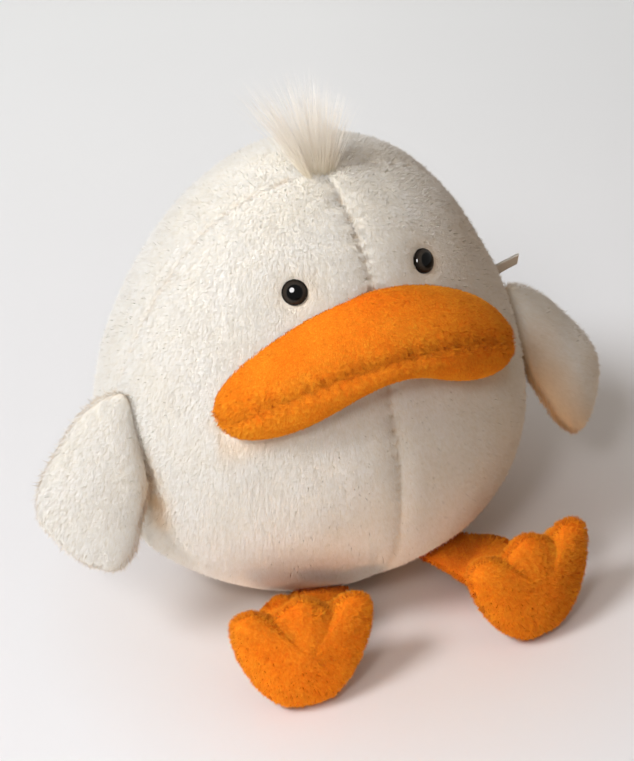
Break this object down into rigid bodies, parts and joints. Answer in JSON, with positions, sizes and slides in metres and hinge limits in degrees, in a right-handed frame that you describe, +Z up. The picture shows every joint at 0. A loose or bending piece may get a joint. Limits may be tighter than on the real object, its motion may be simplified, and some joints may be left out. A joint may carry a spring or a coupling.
{
  "type": "plush duck",
  "caption": "Seated egg-shaped plush duck with a wide pillow bill, webbed feet on short legs, drooping wings, domed safety eyes and an upright tuft of hair on the crown",
  "frame": {"origin": "middle of the flat base panel, on the surface that the duck sits on", "axes": "-Y is the way the face looks, +Z is up, -X is the duck's own right side"},
  "size_m": [0.3204, 0.2613, 0.2773],
  "materials": {
    "white_plush": "soft short-pile plush",
    "orange_plush": "short-pile plush",
    "polyester_fill": "loose polyester stuffing",
    "hair": "long straight synthetic hair",
    "eye_plastic": "clear dome over a black pupil and a grey-brown ring",
    "washer_plastic": "natural polypropylene",
    "ribbon_satin": "bare satin ribbon"
  },
  "bodies": {
    "body": {"front_panel_left": "white_plush", "front_panel_right": "white_plush", "back_panel_left": "white_plush", "back_panel_right": "white_plush", "base_panel": "white_plush", "body_fill": "polyester_fill", "bill_lower_panel": "orange_plush", "bill_upper_panel": "orange_plush", "bill_fill": "polyester_fill", "eye_left": "eye_plastic", "eye_washer_left": "washer_plastic", "eye_right": "eye_plastic", "eye_washer_right": "washer_plastic", "tail_top_panel": "white_plush", "tail_under_panel": "white_plush", "tail_fill": "polyester_fill", "tuft": "hair", "side_ribbon": "ribbon_satin"},
    "wing_left": {"wing_left_outer_panel": "white_plush", "wing_left_inner_panel": "white_plush", "wing_left_fill": "polyester_fill"},
    "leg_left": {"leg_left_cover": "orange_plush", "leg_left_fill": "polyester_fill"},
    "foot_left": {"foot_left_sole_panel": "orange_plush", "foot_left_top_panel": "orange_plush", "foot_left_fill": "polyester_fill"},
    "wing_right": {"wing_right_outer_panel": "white_plush", "wing_right_inner_panel": "white_plush", "wing_right_fill": "polyester_fill"},
    "leg_right": {"leg_right_cover": "orange_plush", "leg_right_fill": "polyester_fill"},
    "foot_right": {"foot_right_sole_panel": "orange_plush", "foot_right_top_panel": "orange_plush", "foot_right_fill": "polyester_fill"}
  },
  "joints": [
    {"name": "wing_right_flap", "type": "hinge", "parent": "body", "child": "wing_right", "pos_m": [-0.1057, -0.01561, 0.13147], "axis": [0.0156, 0.5632, 0.8261], "range_deg": [0, 75]},
    {"name": "wing_left_flap", "type": "hinge", "parent": "body", "child": "wing_left", "pos_m": [0.1057, -0.01561, 0.13147], "axis": [0.0156, -0.5632, -0.8261], "range_deg": [0, 75]},
    {"name": "leg_right_swing", "type": "hinge", "parent": "body", "child": "leg_right", "pos_m": [-0.03651, -0.07428, 0.02361], "axis": [0.9391, -0.3436, 0], "range_deg": [-9, 18]},
    {"name": "leg_left_swing", "type": "hinge", "parent": "body", "child": "leg_left", "pos_m": [0.04387, -0.07125, 0.0236], "axis": [0.9091, 0.4167, 0], "range_deg": [-9, 18]},
    {"name": "foot_right_tilt", "type": "hinge", "parent": "leg_right", "child": "foot_right", "pos_m": [-0.05767, -0.08455, 0.0193], "axis": [0.992, -0.1073, -0.0667], "range_deg": [-10, 45]},
    {"name": "foot_left_tilt", "type": "hinge", "parent": "leg_left", "child": "foot_left", "pos_m": [0.0607, -0.09236, 0.01994], "axis": [0.9929, 0.114, 0.0336], "range_deg": [-10, 45]}
  ]
}
